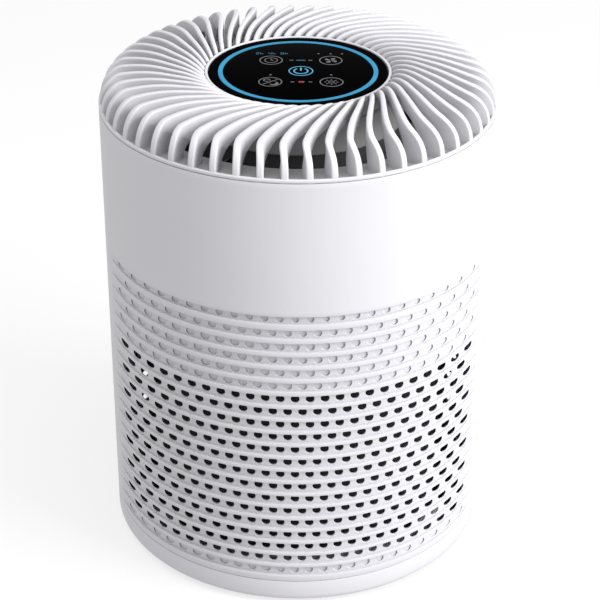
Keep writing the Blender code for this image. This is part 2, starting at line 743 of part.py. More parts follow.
# ---- filter ----
def make_filter(mats):
    """Ring filter: caps, pleated media, carbon layer, core and outer mesh."""
    low = FILTER_BOTTOM_Z + 3.0 + GAP
    high = FILTER_TOP_Z - 3.0 - GAP
    layers = (
        ("filter_core", FILTER_CORE_R, FILTER_CORE_R + 1.6, "mesh"),
        ("carbon_layer", 52.0, 60.0, "carbon"),
        ("filter_media", 60.5, 87.5, "media"),
        ("filter_mesh", 88.0, 89.4, "mesh"),
    )
    for name, r0, r1, finish in layers:
        lathe(name, [(r0, low), (r1, low), (r1, high), (r0, high)], mats[finish])
    top = [
        (FILTER_CORE_R, FILTER_TOP_Z - 3.0),
        (FILTER_R, FILTER_TOP_Z - 3.0),
        (FILTER_R, FILTER_TOP_Z),
        (FILTER_CORE_R, FILTER_TOP_Z),
    ]
    lathe("filter_top_cap", top, mats["black"])
    gasket_z = FILTER_TOP_Z + GAP
    gasket = [(56.0, gasket_z), (88.0, gasket_z), (88.0, GASKET_TOP_Z), (56.0, GASKET_TOP_Z)]
    lathe("filter_gasket", gasket, mats["foam"])
    cap_top = FILTER_BOTTOM_Z + 3.0
    bottom = [(0.0, FILTER_BOTTOM_Z), (FILTER_R, FILTER_BOTTOM_Z), (FILTER_R, cap_top), (0.0, cap_top)]
    lathe("filter_bottom_cap", bottom, mats["black"])
    tab_top = FILTER_BOTTOM_Z - GAP
    Shape().box(-9.0, 9.0, -36.0, 36.0, tab_top - 1.0, tab_top).build("filter_pull_tab", mats["tab"])


# ---- base ----
def make_base(mats):
    """Twist-off base cover with its collar, lugs and rubber feet."""
    twist = pivot("cover_twist_axis")
    floor_z = FOOT_HEIGHT + GAP
    floor_top = floor_z + BASE_FLOOR
    corner = 5.0
    outside = []
    for degrees in (-90.0, -45.0, 0.0):
        x, y = polar(corner, degrees)
        outside.append((BODY_R - corner + x, floor_z + corner + y))
    skirt_in = 107.5
    profile = [(0.0, floor_z)] + outside + [
        (BODY_R, BASE_SEAM_Z - GAP),
        (skirt_in, BASE_SEAM_Z - GAP),
        (skirt_in, 7.0),
        (COLLAR_R, floor_top),
        (COLLAR_R, COLLAR_TOP_Z),
        (COLLAR_R - 2.5, COLLAR_TOP_Z),
        (COLLAR_R - 2.5, floor_top),
        (SEAT_RING_R, floor_top),
        (SEAT_RING_R, FILTER_BOTTOM_Z - GAP),
        (SEAT_RING_R - 3.0, FILTER_BOTTOM_Z - GAP),
        (SEAT_RING_R - 3.0, floor_top),
        (0.0, floor_top),
    ]
    cover = lathe("base_cover", profile, mats["white"], DRUM_SIDES, twist)
    lugs = Shape()
    lug_z = LEDGE_Z + LEDGE_THICK + GAP
    for k in range(LUG_COUNT):
        start = 45.0 + 360.0 * k / LUG_COUNT - LUG_DEG / 2.0
        lugs.sector(COLLAR_R - 1.0, 103.6, start, start + LUG_DEG, lug_z, lug_z + 2.4, 4)
    join(cover, "lugs", lugs)
    for number, point in enumerate(on_circle(FOOT_CIRCLE_R, FOOT_COUNT, 45.0), start=1):
        pad = [(0.0, 0.0), (FOOT_R, 0.0), (FOOT_R, FOOT_HEIGHT), (0.0, FOOT_HEIGHT)]
        lathe(f"rubber_foot_{number}", pad, mats["rubber"], 16, twist, point)


def main():
    """Builds the purifier in an empty scene."""
    for obj in list(bpy.data.objects):
        bpy.data.objects.remove(obj, do_unlink=True)
    mats = make_materials()
    make_body_shell(mats)
    make_power_inlet(mats)
    make_top_grille(mats)
    make_panel(mats)
    make_motor_cover(mats)
    make_fan_housing(mats)
    make_motor_bracket(mats)
    make_motor(mats)
    make_driver_board(mats)
    make_deck(mats)
    make_inlet_guard(mats)
    make_fan(mats)
    make_filter(mats)
    make_base(mats)


main()
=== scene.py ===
"""Looks of the cylindrical air purifier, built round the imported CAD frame.

Lengths are millimetres until a mesh is made. Z is the drum's axis and the front faces -Y.
Angles on the drum are measured from the front, turning towards +X.
"""

import math

import bmesh
import bpy
from mathutils import Matrix, Vector


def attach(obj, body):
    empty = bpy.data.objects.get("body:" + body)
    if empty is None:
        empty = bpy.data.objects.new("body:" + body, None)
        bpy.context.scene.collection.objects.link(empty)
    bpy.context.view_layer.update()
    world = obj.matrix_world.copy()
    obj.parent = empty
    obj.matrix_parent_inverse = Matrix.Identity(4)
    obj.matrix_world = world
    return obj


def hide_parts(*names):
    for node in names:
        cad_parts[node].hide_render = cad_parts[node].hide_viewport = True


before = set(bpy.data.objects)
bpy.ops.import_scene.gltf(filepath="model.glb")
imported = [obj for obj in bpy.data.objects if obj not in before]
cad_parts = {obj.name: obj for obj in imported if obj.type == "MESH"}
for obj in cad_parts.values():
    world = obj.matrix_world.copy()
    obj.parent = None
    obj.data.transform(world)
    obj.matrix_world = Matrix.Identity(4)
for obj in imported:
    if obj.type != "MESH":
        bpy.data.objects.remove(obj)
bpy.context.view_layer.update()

MM = 0.001

# ---- drum ----
BODY_R = 110.0
SEAM_Z = 266.0
BASE_SEAM_Z = 16.3
UPPER_WALL_R = 107.0
STEP_Z = 191.5                      # the wall is thicker below this
PATTERN_YAW = math.radians(-0.5)    # the wall's mould halves sit a little off the grille's

ROW_COUNT = 21
ROW_PITCH = 8.135
FIRST_LIP_Z = 188.8                 # lower edge of the smooth band
GROOVE_DEPTH = 2.0                  # straight back, so the grooves thin out towards the sides
WALL_DEPTH = 3.6                    # from the ribs' faces to the inner skin, also straight back
GROOVE_HEIGHTS = (4.6, 5.3, 5.5, 5.5, 5.5, 5.5)     # the first six grooves, counted from the top
GROOVE_HEIGHT = 6.0                 # the rest
THROUGH_ROWS = range(6, 20)         # these have holes, the others only dimples
HOLE_R = 2.42
HOLE_DROP = 2.8                     # hole centre below the lip
FIRST_DIMPLES = ((1.95, 2.35), (2.15, 2.7))     # (radius, drop) in the first two grooves
HOLE_PITCH = 8.05
COLUMN_STEP = HOLE_PITCH / 4.0      # the wall's mesh has four columns to a pitch
HALF_COLUMNS = 50                   # columns each side of the middle
LAST_X = HALF_COLUMNS * COLUMN_STEP
EDGE_ANGLE = math.asin(LAST_X / BODY_R)
STRIP_ANGLE = math.pi - 2 * EDGE_ANGLE      # width of the smooth strip at each side of the drum
CELL_LEVELS = 5                     # levels of vertices down a hole's cell
DIMPLE_DEPTH = 1.05
FLARE_R = 2.8                       # the holes widen behind a thin front
FLARE_DEPTH = 1.0
HOLE_EDGE = 0.1                     # chamfer round a hole's mouth
FADE_STEPS = (1.5, 3.0, 4.5, 6.0)   # degrees past the last hole column where grooves run out
SIDE_STEPS = 8                      # columns across the rest of each smooth side strip
SEAM_GAP = 0.3
SEAM_EDGE = (0.45, 0.13)            # (reach, middle) of the rounding at the upper seam
LIP_EDGE = (0.25, 0.07)             # at a lip
RIB_EDGE = (0.35, 0.1)              # at a rib's upper edge, at the wall's foot and at the base

JACK_Z = 206.0
JACK_HOLE_R = 5.4
JACK_CHAMFER = 0.5
JACK_CELL = 8.0                     # the cell round the inlet's hole reaches this far up and down
JACK_COLUMNS = 4                    # and this many columns to each side

# ---- grille ----
FIN_COUNT = 54
FIN_FOOT_R = 109.3
FIN_FOOT_Z = -0.6                   # heights on the fins are above the seam
FIN_RING_R = 53.0
FIN_SWEEP = math.radians(25.7)
FIN_SWEEP_POWER = 2.3
FIN_LEAN = math.radians(1.6)        # the fins first turn back a little near the rim
FIN_LEAN_SHARE = 0.22
FIN_SHOULDER = 18.7                 # where the fins turn down to the rim
BEND_R, BEND_Z = 94.3, 1.2          # middle of the quarter ellipse that carries them up from the rim
BEND_REACH = 15.0
BEND_TURN, BEND_STEPS = 80.0, 11
BEND_SHARE = 0.44                   # share of a fin's lower edge that lies under this bend
FIN_CREST = 21.5                    # the fins' highest part, on a ring halfway in
CREST_FROM, CREST_TO = 74.0, 66.0
CURL_IN = 14.7                      # from the crest the fins curl down to the bezel
CURL_DROP = 6.6
CURL_STEPS = 14
TIP_IN, TIP_DROP = 0.7, 0.8         # the fins' ends go on a little inside the bezel
FIN_LOWER_EDGE = (                  # (share of the fin's length, radius, height)
    (0.0, 99.2, -2.2), (0.08, 98.6, 0.0), (0.2, 96.8, 4.4), (0.32, 92.8, 8.9), (0.42, 88.6, 11.8),
    (0.5, 85.0, 13.2), (0.56, 80.0, 13.6), (0.8, 66.0, 13.5), (1.0, 51.0, 12.5),
)
FIN_FOOT_THICK = 3.7
FIN_RING_THICK = 2.3
FIN_ROUND = 0.85
FIN_TAPER = 0.72                    # a fin's lower edge is thinner than the fin
FIN_CHAMFER = 0.5                   # height over which it thins
TANGENT_STEP = 0.5                  # how far inwards a fin's direction is taken
ROUND_CORNER = (                    # (depth, set back) of a rounded corner, in shares of its radius
    (1.0, 0.0), (0.62, 0.08), (0.29, 0.29), (0.08, 0.62), (0.0, 1.0),
)
RIM_SIDES = 216
BEZEL_R, BEZEL_INNER_R = 51.5, 49.8
BEZEL_FOOT, BEZEL_TOP = 6.0, 16.7

# ---- panel ----
GLASS_R = 49.1
GLASS_TOP_Z = 282.4
GLASS_THICK = 2.2
LIGHT_R = 44.0
LIGHT_WIDTH = 2.5
LIGHT_GAP = 0.3                     # round the light ring in its groove
LIGHT_DEPTH = 1.0
KEYS_X, KEYS_Y = 1.5, -1.0
KEY_DX, KEY_DY = 16.6, 15.6
MARK_DOWN, MARK_UP = 0.03, 0.05     # how far the marks reach below and above the glass
FINE_LINE = 0.5

# ---- inside and base ----
TOWER_SIDES = 160
DECK_SIDES = 128
FLANGE_R = 105.6
VANE_COUNT = 8
VANE_FROM_R, VANE_TO_R = 56.0, 94.0
VANE_SWEEP = 18.0                   # degrees
VANE_STEPS = 10
BASE_SIDES = 200
BASE_FLOOR_Z = 1.5
BASE_CORNER = 5.0
TRAY_FLOOR_Z = 4.0
FOOT_CIRCLE_R = 88.0
PLEATS = 96
PLEAT_OUT, PLEAT_IN = (87.5, 86.0), (63.0, 61.5)    # the paper's two faces at a crest and a fold
MEDIA_LOW_Z, MEDIA_HIGH_Z = 16.8, 142.7


# ---- materials ----
def shader_of(mat):
    """The Principled shader of a material."""
    return mat.node_tree.nodes["Principled BSDF"]


def plain(name, colour, roughness, metallic=0.0, specular=0.5, emission=None, strength=0.0):
    """A material with values on the shader's own sockets."""
    mat = bpy.data.materials.new(name)
    mat.use_nodes = True
    shader = shader_of(mat)
    shader.inputs["Base Color"].default_value = (*colour, 1.0)
    shader.inputs["Roughness"].default_value = roughness
    shader.inputs["Metallic"].default_value = metallic
    shader.inputs["Specular IOR Level"].default_value = specular
    if emission is not None:
        shader.inputs["Emission Color"].default_value = (*emission, 1.0)
        shader.inputs["Emission Strength"].default_value = strength
    return mat


def textured(name, colour, roughness, grain=2200.0, bump=0.06, tint=0.03, wear=0.06, **more):
    """A moulded surface: fine grain in the relief, slow changes in colour and gloss."""
    mat = plain(name, colour, roughness, **more)
    nodes, links = mat.node_tree.nodes, mat.node_tree.links
    shader = shader_of(mat)
    coords = nodes.new("ShaderNodeTexCoord")

    fine = nodes.new("ShaderNodeTexNoise")
    fine.inputs["Scale"].default_value = grain
    fine.inputs["Detail"].default_value = 3.0
    links.new(coords.outputs["Object"], fine.inputs["Vector"])
    relief = nodes.new("ShaderNodeBump")
    relief.inputs["Strength"].default_value = bump
    relief.inputs["Distance"].default_value = 0.0002
    links.new(fine.outputs["Fac"], relief.inputs["Height"])
    links.new(relief.outputs["Normal"], shader.inputs["Normal"])

    broad = nodes.new("ShaderNodeTexNoise")
    broad.inputs["Scale"].default_value = 14.0
    broad.inputs["Detail"].default_value = 4.0
    links.new(coords.outputs["Object"], broad.inputs["Vector"])
    shade = nodes.new("ShaderNodeMapRange")
    shade.inputs["To Min"].default_value = roughness - wear
    shade.inputs["To Max"].default_value = roughness + wear
    links.new(broad.outputs["Fac"], shade.inputs["Value"])
    links.new(shade.outputs["Result"], shader.inputs["Roughness"])
    ramp = nodes.new("ShaderNodeValToRGB")
    ramp.color_ramp.elements[0].position = 0.3
    ramp.color_ramp.elements[1].position = 0.7
    ramp.color_ramp.elements[0].color = (*(c * (1.0 - tint) for c in colour), 1.0)
    ramp.color_ramp.elements[1].color = (*colour, 1.0)
    links.new(broad.outputs["Fac"], ramp.inputs["Fac"])
    links.new(ramp.outputs["Color"], shader.inputs["Base Color"])
    return mat


def lit(name, colour, emission):
    """A printed or glowing mark whose light varies a little from place to place."""
    mat = textured(name, colour, 0.5, grain=900.0, specular=0.1, emission=emission, strength=1.0)
    nodes, links = mat.node_tree.nodes, mat.node_tree.links
    coords = nodes.new("ShaderNodeTexCoord")
    patchy = nodes.new("ShaderNodeTexNoise")
    patchy.inputs["Scale"].default_value = 90.0
    links.new(coords.outputs["Object"], patchy.inputs["Vector"])
    level = nodes.new("ShaderNodeMapRange")
    level.inputs["To Min"].default_value = 0.8
    level.inputs["To Max"].default_value = 1.2
    links.new(patchy.outputs["Fac"], level.inputs["Value"])
    links.new(level.outputs["Result"], shader_of(mat).inputs["Emission Strength"])
    return mat


def woven(name, colour, scale, roughness=0.9):
    """A fine net or felt: crossed waves in colour and relief."""
    mat = plain(name, colour, roughness)
    nodes, links = mat.node_tree.nodes, mat.node_tree.links
    shader = shader_of(mat)
    coords = nodes.new("ShaderNodeTexCoord")
    heights = []
    for direction in ("DIAGONAL", "Z"):
        wave = nodes.new("ShaderNodeTexWave")
        wave.bands_direction = direction
        wave.inputs["Scale"].default_value = scale
        wave.inputs["Distortion"].default_value = 0.6
        links.new(coords.outputs["Object"], wave.inputs["Vector"])
        heights.append(wave)
    both = nodes.new("ShaderNodeMath")
    both.operation = "MAXIMUM"
    links.new(heights[0].outputs["Fac"], both.inputs[0])
    links.new(heights[1].outputs["Fac"], both.inputs[1])
    ramp = nodes.new("ShaderNodeValToRGB")
    ramp.color_ramp.elements[0].color = (*(c * 0.35 for c in colour), 1.0)
    ramp.color_ramp.elements[1].color = (*colour, 1.0)
    links.new(both.outputs["Value"], ramp.inputs["Fac"])
    links.new(ramp.outputs["Color"], shader.inputs["Base Color"])
    relief = nodes.new("ShaderNodeBump")
    relief.inputs["Strength"].default_value = 0.4
    relief.inputs["Distance"].default_value = 0.0004
    links.new(both.outputs["Value"], relief.inputs["Height"])
    links.new(relief.outputs["Normal"], shader.inputs["Normal"])
    return mat


WHITE = textured("white_moulding", (0.48, 0.478, 0.503), 0.46, specular=0.3)
GREY = textured("grey_moulding", (0.27, 0.27, 0.275), 0.5, tint=0.08)
# Painted shade: the tray's grey stands in for the shade the fins cast on the shelf below them.
TRAY_SHADE = textured("tray_painted_shade", (0.27, 0.27, 0.275), 0.5, tint=0.06)
DARK = textured("dark_moulding", (0.085, 0.085, 0.088), 0.55, tint=0.15)
BLACK = textured("black_moulding", (0.022, 0.022, 0.024), 0.5, tint=0.15)
GLASS = textured(
    "panel_black", (0.0006, 0.0006, 0.0008), 0.2, bump=0.01, tint=0.3, wear=0.08, specular=0.001,
)
STEEL = textured("turned_steel", (0.60, 0.60, 0.62), 0.3, grain=900.0, bump=0.1, metallic=1.0)
WINDING = textured("windings", (0.42, 0.22, 0.12), 0.4, grain=700.0, bump=0.5, metallic=0.7)
BOARD = textured("circuit_board_green", (0.02, 0.14, 0.06), 0.4, grain=500.0, tint=0.3)
MEDIA = textured("filter_paper", (0.86, 0.86, 0.83), 0.95, grain=1500.0, bump=0.3)
CARBON = woven("carbon_felt_black", (0.03, 0.03, 0.03), 260.0)
MESH = woven("filter_net", (0.035, 0.035, 0.038), 330.0)
FOAM = textured("gasket_cells", (0.05, 0.05, 0.055), 0.95, grain=1200.0, bump=0.6)
RUBBER = textured("foot_rubber", (0.045, 0.045, 0.05), 0.8, grain=1800.0, bump=0.15)
RIBBON = woven("tab_ribbon", (0.10, 0.26, 0.55), 420.0, 0.7)
LENS = textured("uv_lens_violet", (0.55, 0.48, 0.82), 0.15, tint=0.05)


# ---- mesh building ----
WELD = 2e-6                         # metres between vertices that become one
SLIVER = 1e-7                       # metres of an edge that is dissolved


class Skin:
    """Vertices and faces in millimetres, with vertices shared by key."""

    def __init__(self):
        self.verts = []
        self.faces = []
        self.known = {}

    def vert(self, point, key=None):
        """The index of a vertex, made once for each key."""
        if key is not None and key in self.known:
            return self.known[key]
        self.verts.append(tuple(point))
        if key is not None:
            self.known[key] = len(self.verts) - 1
        return len(self.verts) - 1

    def add(self, verts, faces):
        """Appends a body of its own."""
        first = len(self.verts)
        self.verts.extend(tuple(v) for v in verts)
        self.faces.extend(tuple(first + i for i in face) for face in faces)
        return self

    def lathe(self, profile, sides, centre=(0.0, 0.0)):
        """A body turned from a closed outline of (radius, z)."""
        verts, rings, faces = [], [], []
        for radius, z in profile:
            if radius == 0.0:
                rings.append([len(verts)] * sides)
                verts.append((centre[0], centre[1], z))
                continue
            rings.append(list(range(len(verts), len(verts) + sides)))
            for i in range(sides):
                a = math.tau * i / sides
                verts.append((centre[0] + radius * math.cos(a), centre[1] + radius * math.sin(a), z))
        for here, there in zip(rings, rings[1:] + rings[:1]):
            for i in range(sides):
                j = (i + 1) % sides
                corners = tuple(dict.fromkeys((here[i], here[j], there[j], there[i])))
                if len(corners) > 2:
                    faces.append(corners)
        return self.add(verts, faces)

    def prism(self, outline, z0, z1):
        """An outline of (x, y) points carried from z0 to z1."""
        n = len(outline)
        verts = [(x, y, z0) for x, y in outline] + [(x, y, z1) for x, y in outline]
        faces = [tuple(range(n)), tuple(range(n, 2 * n))]
        faces += [(i, (i + 1) % n, n + (i + 1) % n, n + i) for i in range(n)]
        return self.add(verts, faces)

    def moved(self, matrix):
        """The same shape after a matrix."""
        self.verts = [tuple(matrix @ Vector(v)) for v in self.verts]
        return self

    def build(self, name, mat, body, slot, replaced=(), crisp=40.0):
        """Makes the piece and ties it to its body and CAD nodes. The slot is not used."""
        mesh = bpy.data.meshes.new(name)
        mesh.from_pydata([[c * MM for c in v] for v in self.verts], [], self.faces)
        bm = bmesh.new()
        bm.from_mesh(mesh)
        bmesh.ops.remove_doubles(bm, verts=bm.verts, dist=WELD)
        bmesh.ops.dissolve_degenerate(bm, edges=bm.edges, dist=SLIVER)
        bmesh.ops.recalc_face_normals(bm, faces=bm.faces)
        bm.to_mesh(mesh)
        bm.free()
        mesh.shade_smooth()
        mesh.set_sharp_from_angle(angle=math.radians(crisp))
        mesh.materials.append(mat)
        obj = bpy.data.objects.new(name, mesh)
        bpy.context.scene.collection.objects.link(obj)
        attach(obj, body)
        if replaced:
            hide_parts(*replaced)
        return obj


def smooth(t):
    """Eases from 0 to 1."""
    t = min(max(t, 0.0), 1.0)
    return t * t * (3.0 - 2.0 * t)


def rounded(points, radius, steps=4):
    """An outline with its corners rounded, apart from those on the axis."""
    longest = 0.45                  # of an edge, that one corner may take
    shortest = 0.02                 # a rounding smaller than this is left out
    out = []
    n = len(points)
    for i, point in enumerate(points):
        here = Vector(point)
        before = Vector(points[i - 1]) - here
        after = Vector(points[(i + 1) % n]) - here
        reach = min(radius, before.length * longest, after.length * longest)
        if reach < shortest or here.x == 0.0:
            out.append(tuple(here))
            continue
        start = here + before.normalized() * reach
        end = here + after.normalized() * reach
        for k in range(steps + 1):
            t = k / steps
            out.append(tuple(start * (1 - t) ** 2 + here * (2 * t * (1 - t)) + end * t ** 2))
    return out


# ---- perforated shell ----
def back_from_face(x, depth):
    """A point straight behind the front of the drum's face."""
    return x, depth - math.sqrt(BODY_R ** 2 - x ** 2)


def round_at(radius, angle):
    """A point on a circle, at an angle from the front."""
    return radius * math.sin(angle), -radius * math.cos(angle)


class Column:
    """A vertical line of the wall's mesh: where each depth lies in plan."""

    def __init__(self, half, number=None, past=0.0):
        self.half, self.number = half, number
        if number is not None:
            self.x = number * COLUMN_STEP
            self.angle = math.asin(self.x / BODY_R)
            self.low = back_from_face(self.x, WALL_DEPTH)
            return
        self.x = None
        self.angle = EDGE_ANGLE + past
        nearest = min(past, STRIP_ANGLE - past)
        self.share = 1.0 - smooth(nearest / math.radians(FADE_STEPS[-1]))
        inner_x, inner_y = back_from_face(LAST_X, WALL_DEPTH)
        inner_edge = math.atan2(inner_x, -inner_y)
        inner = inner_edge + (math.pi - 2 * inner_edge) * past / STRIP_ANGLE
        self.low = round_at(math.hypot(inner_x, inner_y), inner)

    def outer(self, depth):
        """The outer skin at a groove's depth."""
        if self.x is not None:
            return back_from_face(self.x, depth)
        return round_at(BODY_R - depth * math.cos(EDGE_ANGLE) * self.share, self.angle)

    def inner(self, low):
        """The inner skin, in its thicker lower or thinner upper part."""
        return self.low if low else round_at(UPPER_WALL_R, self.angle)


def side_angles():
    """Angles across a side strip, close together where the grooves run out."""
    near = [math.radians(step) for step in FADE_STEPS]
    middle = [near[-1] + (STRIP_ANGLE - 2 * near[-1]) * k / SIDE_STEPS for k in range(1, SIDE_STEPS)]
    return near + middle + [STRIP_ANGLE - a for a in reversed(near)]


def shell_columns():
    """All columns round the drum, front half first."""
    columns = []
    for half in (0.0, math.pi):
        columns += [Column(half, number=n) for n in range(-HALF_COLUMNS, HALF_COLUMNS + 1)]
        columns += [Column(half, past=past) for past in side_angles()]
    return columns


def groove_height(row):
    """Height of a groove's floor."""
    return GROOVE_HEIGHTS[row] if row < len(GROOVE_HEIGHTS) else GROOVE_HEIGHT


def soft_edge(z, side, edge):
    """Levels (z, depth) of a rounded edge, from the edge at z to the face above (1) or below (-1)."""
    reach, middle = edge
    return [(z, reach), (z + side * middle, middle), (z + side * reach, 0.0)]


def cell_heights(top, bottom):
    """Heights of the levels of a hole's cell."""
    return [top + (bottom - top) * k / (CELL_LEVELS - 1) for k in range(CELL_LEVELS)]


def shell_levels():
    """Outer levels (z, depth), the index of each row's first floor level and of the inlet's first level."""
    plain_band = 3.0                # next to each seam, so that its rounding shades cleanly
    above_lips = 2.5
    top = SEAM_Z - SEAM_GAP
    levels = soft_edge(top, -1, SEAM_EDGE) + [(top - plain_band, 0.0)]
    jack_first = len(levels)
    levels += [(z, 0.0) for z in cell_heights(JACK_Z + JACK_CELL, JACK_Z - JACK_CELL)]
    levels.append((FIRST_LIP_Z + above_lips, 0.0))
    floors = []
    for row in range(ROW_COUNT):
        lip = FIRST_LIP_Z - ROW_PITCH * row
        low = lip - groove_height(row)
        levels += reversed(soft_edge(lip, 1, LIP_EDGE))
        floors.append(len(levels))
        levels += [(z, GROOVE_DEPTH) for z in cell_heights(lip, low)]
        levels += soft_edge(low, -1, RIB_EDGE)
    levels.append((BASE_SEAM_Z + plain_band, 0.0))
    levels += reversed(soft_edge(BASE_SEAM_Z, 1, RIB_EDGE))
    return levels, floors, jack_first


def ring_points(cx, cz, radius, count):
    """Points round a hole in the flat view from the front, starting at the lower left corner."""
    for k in range(count):
        a = math.radians(225.0) + math.tau * k / count
        yield cx + radius * math.cos(a), cz + radius * math.sin(a)


class Wall:
    """The drum's wall: outer and inner skins joined by straight-pull holes."""

    def __init__(self):
        self.skin = Skin()
        self.columns = shell_columns()
        self.levels, self.floors, self.jack_first = shell_levels()
        self.count = len(self.columns)
        self.index = {(c.half, c.number): i for i, c in enumerate(self.columns) if c.x is not None}

    def place(self, half, plan, z, key=None):
        """A vertex from its plan position in a half of the mould."""
        turn = half + PATTERN_YAW
        c, s = math.cos(turn), math.sin(turn)
        return self.skin.vert((plan[0] * c - plan[1] * s, plan[0] * s + plan[1] * c, z), key)

    def outer(self, level, column):
        """A vertex of the outer skin."""
        column %= self.count
        z, depth = self.levels[level]
        here = self.columns[column]
        return self.place(here.half, here.outer(depth), z, ("out", level, column))

    def inner(self, z, low, column):
        """A vertex of the inner skin."""
        column %= self.count
        here = self.columns[column]
        return self.place(here.half, here.inner(low), z, ("in", z, low, column))

    def low(self, z, column):
        """A vertex of the inner skin's thicker part."""
        return self.inner(z, True, column)

    def high(self, z, column):
        """A vertex of the inner skin's thinner part."""
        return self.inner(z, False, column)

    def quads(self, grid, rows, first, last):
        """Quads between successive rows, from column first to column last."""
        for upper, lower in zip(rows, rows[1:]):
            for c in range(first, last):
                corners = grid(upper, c), grid(upper, c + 1), grid(lower, c + 1), grid(lower, c)
                self.skin.faces.append(corners)

    def edge(self, grid, rows, first, last):
        """The border of a cell, from its lower left corner to the right and round."""
        border = [grid(rows[-1], c) for c in range(first, last)]
        border += [grid(r, last) for r in reversed(rows[1:])]
        border += [grid(rows[0], c) for c in range(last, first, -1)]
        border += [grid(r, first) for r in rows[:-1]]
        return border

    def hole(self, half, cx, cz, rings, count):
        """Rings of vertices down a hole: each is (hole radius, depth behind the face)."""
        made = []
        for radius, depth in rings:
            points = ring_points(cx, cz, radius, count)
            made.append([self.place(half, back_from_face(x, depth), z) for x, z in points])
        return made

    def strips(self, loops):
        """Quads between successive loops of the same length."""
        for a, b in zip(loops, loops[1:]):
            n = len(a)
            for i in range(n):
                j = (i + 1) % n
                self.skin.faces.append((a[i], a[j], b[j], b[i]))

    def cell(self, half, middle, row):
        """One cell of a groove's floor with its hole or dimple."""
        first = self.index[(half, middle - 2)]
        levels = [self.floors[row] + k for k in range(CELL_LEVELS)]
        border = self.edge(self.outer, levels, first, first + 4)
        lip = self.levels[levels[0]][0]
        radius, drop = FIRST_DIMPLES[row] if row < len(FIRST_DIMPLES) else (HOLE_R, HOLE_DROP)
        cx, cz = middle * COLUMN_STEP, lip - drop
        rings = [(radius + HOLE_EDGE, GROOVE_DEPTH), (radius, GROOVE_DEPTH + HOLE_EDGE)]
        if row in THROUGH_ROWS:
            behind = GROOVE_DEPTH + FLARE_DEPTH
            rings += [(radius, behind), (FLARE_R, behind), (FLARE_R, WALL_DEPTH)]
            made = self.hole(half, cx, cz, rings, len(border))
            heights = [self.levels[k][0] for k in levels]
            inside = self.edge(self.low, heights, first, first + 4)
            self.strips([border] + made + [inside])
            return
        bottom = GROOVE_DEPTH + DIMPLE_DEPTH
        rings += [(radius - 0.05, bottom), (radius * 0.5, bottom)]
        made = self.hole(half, cx, cz, rings, len(border))
        self.strips([border] + made)
        self.skin.faces.append(tuple(made[-1]))

    def row_cells(self, row):
        """The column at the middle of each hole in a row."""
        if row % 2 == 0:
            return [4 * k for k in range(-12, 13)]
        return [4 * k + 2 for k in range(-12, 12)]

    def groove_floor(self, row, through):
        """A groove's floor on the outer skin and, for a row of holes, the inner skin behind it."""
        levels = [self.floors[row] + k for k in range(CELL_LEVELS)]
        heights = [self.levels[k][0] for k in levels]
        covered = set()
        for half in (0.0, math.pi):
            for middle in self.row_cells(row):
                self.cell(half, middle, row)
                first = self.index[(half, middle - 2)]
                covered.update(range(first, first + 4))
        for c in range(self.count):
            if c in covered:
                continue
            self.quads(self.outer, levels, c, c + 1)
            if through:
                self.quads(self.low, heights, c, c + 1)

    def jack_cell(self):
        """The round hole for the power inlet, in the back of the smooth band."""
        levels = [self.jack_first + k for k in range(CELL_LEVELS)]
        heights = [self.levels[k][0] for k in levels]
        first = self.index[(math.pi, -JACK_COLUMNS)]
        last = first + 2 * JACK_COLUMNS
        border = self.edge(self.outer, levels, first, last)
        cx = BODY_R * math.sin(PATTERN_YAW)
        inner_depth = BODY_R - UPPER_WALL_R
        rings = [(JACK_HOLE_R + JACK_CHAMFER, 0.0), (JACK_HOLE_R, JACK_CHAMFER), (JACK_HOLE_R, inner_depth)]
        made = self.hole(math.pi, cx, JACK_Z, rings, len(border))
        self.strips([border] + made + [self.edge(self.high, heights, first, last)])
        for c in range(self.count):
            if not first <= c < last:
                self.quads(self.outer, levels, c, c + 1)
                self.quads(self.high, heights, c, c + 1)

    def make(self):
        """The whole closed wall."""
        floor_levels = {self.floors[row] + k for row in range(ROW_COUNT) for k in range(CELL_LEVELS - 1)}
        jack_levels = {self.jack_first + k for k in range(CELL_LEVELS - 1)}
        for level in range(len(self.levels) - 1):
            if level not in floor_levels and level not in jack_levels:
                self.quads(self.outer, [level, level + 1], 0, self.count)
        for row in range(ROW_COUNT):
            self.groove_floor(row, row in THROUGH_ROWS)
        self.jack_cell()

        jack_top = self.levels[self.jack_first][0]
        jack_low = self.levels[self.jack_first + CELL_LEVELS - 1][0]
        top, bottom = SEAM_Z - SEAM_GAP, BASE_SEAM_Z
        self.quads(self.high, [top, jack_top], 0, self.count)
        self.quads(self.high, [jack_low, STEP_Z], 0, self.count)
        spans = [STEP_Z]
        for row in THROUGH_ROWS:
            spans += [self.levels[self.floors[row]][0], self.levels[self.floors[row] + CELL_LEVELS - 1][0]]
        spans.append(bottom)
        for high, low in zip(spans[::2], spans[1::2]):
            self.quads(self.low, [high, low], 0, self.count)
        last = len(self.levels) - 1
        for c in range(self.count):
            joins = (
                (self.outer, 0, self.high, top), (self.high, STEP_Z, self.low, STEP_Z),
                (self.outer, last, self.low, bottom),
            )
            for one, level, other, z in joins:
                self.skin.faces.append((one(level, c), one(level, c + 1), other(z, c + 1), other(z, c)))
        return self.skin


Wall().make().build("perforated_shell", WHITE, "housing", "white_plastic", ["body_shell"], crisp=30.0)


# ---- top grille ----
def fin_turn(radius):
    """Turn of a fin at a radius: straight at the rim, swept at the ring."""
    inward = max(0.0, (FIN_FOOT_R - radius) / (FIN_FOOT_R - FIN_RING_R))
    return FIN_SWEEP * inward ** FIN_SWEEP_POWER - FIN_LEAN * smooth(inward / FIN_LEAN_SHARE)


def fin_half(radius):
    """Half of a fin's thickness at a radius."""
    share = min(max((FIN_FOOT_R - radius) / (FIN_FOOT_R - FIN_RING_R), 0.0), 1.0)
    return 0.5 * (FIN_FOOT_THICK + (FIN_RING_THICK - FIN_FOOT_THICK) * share)


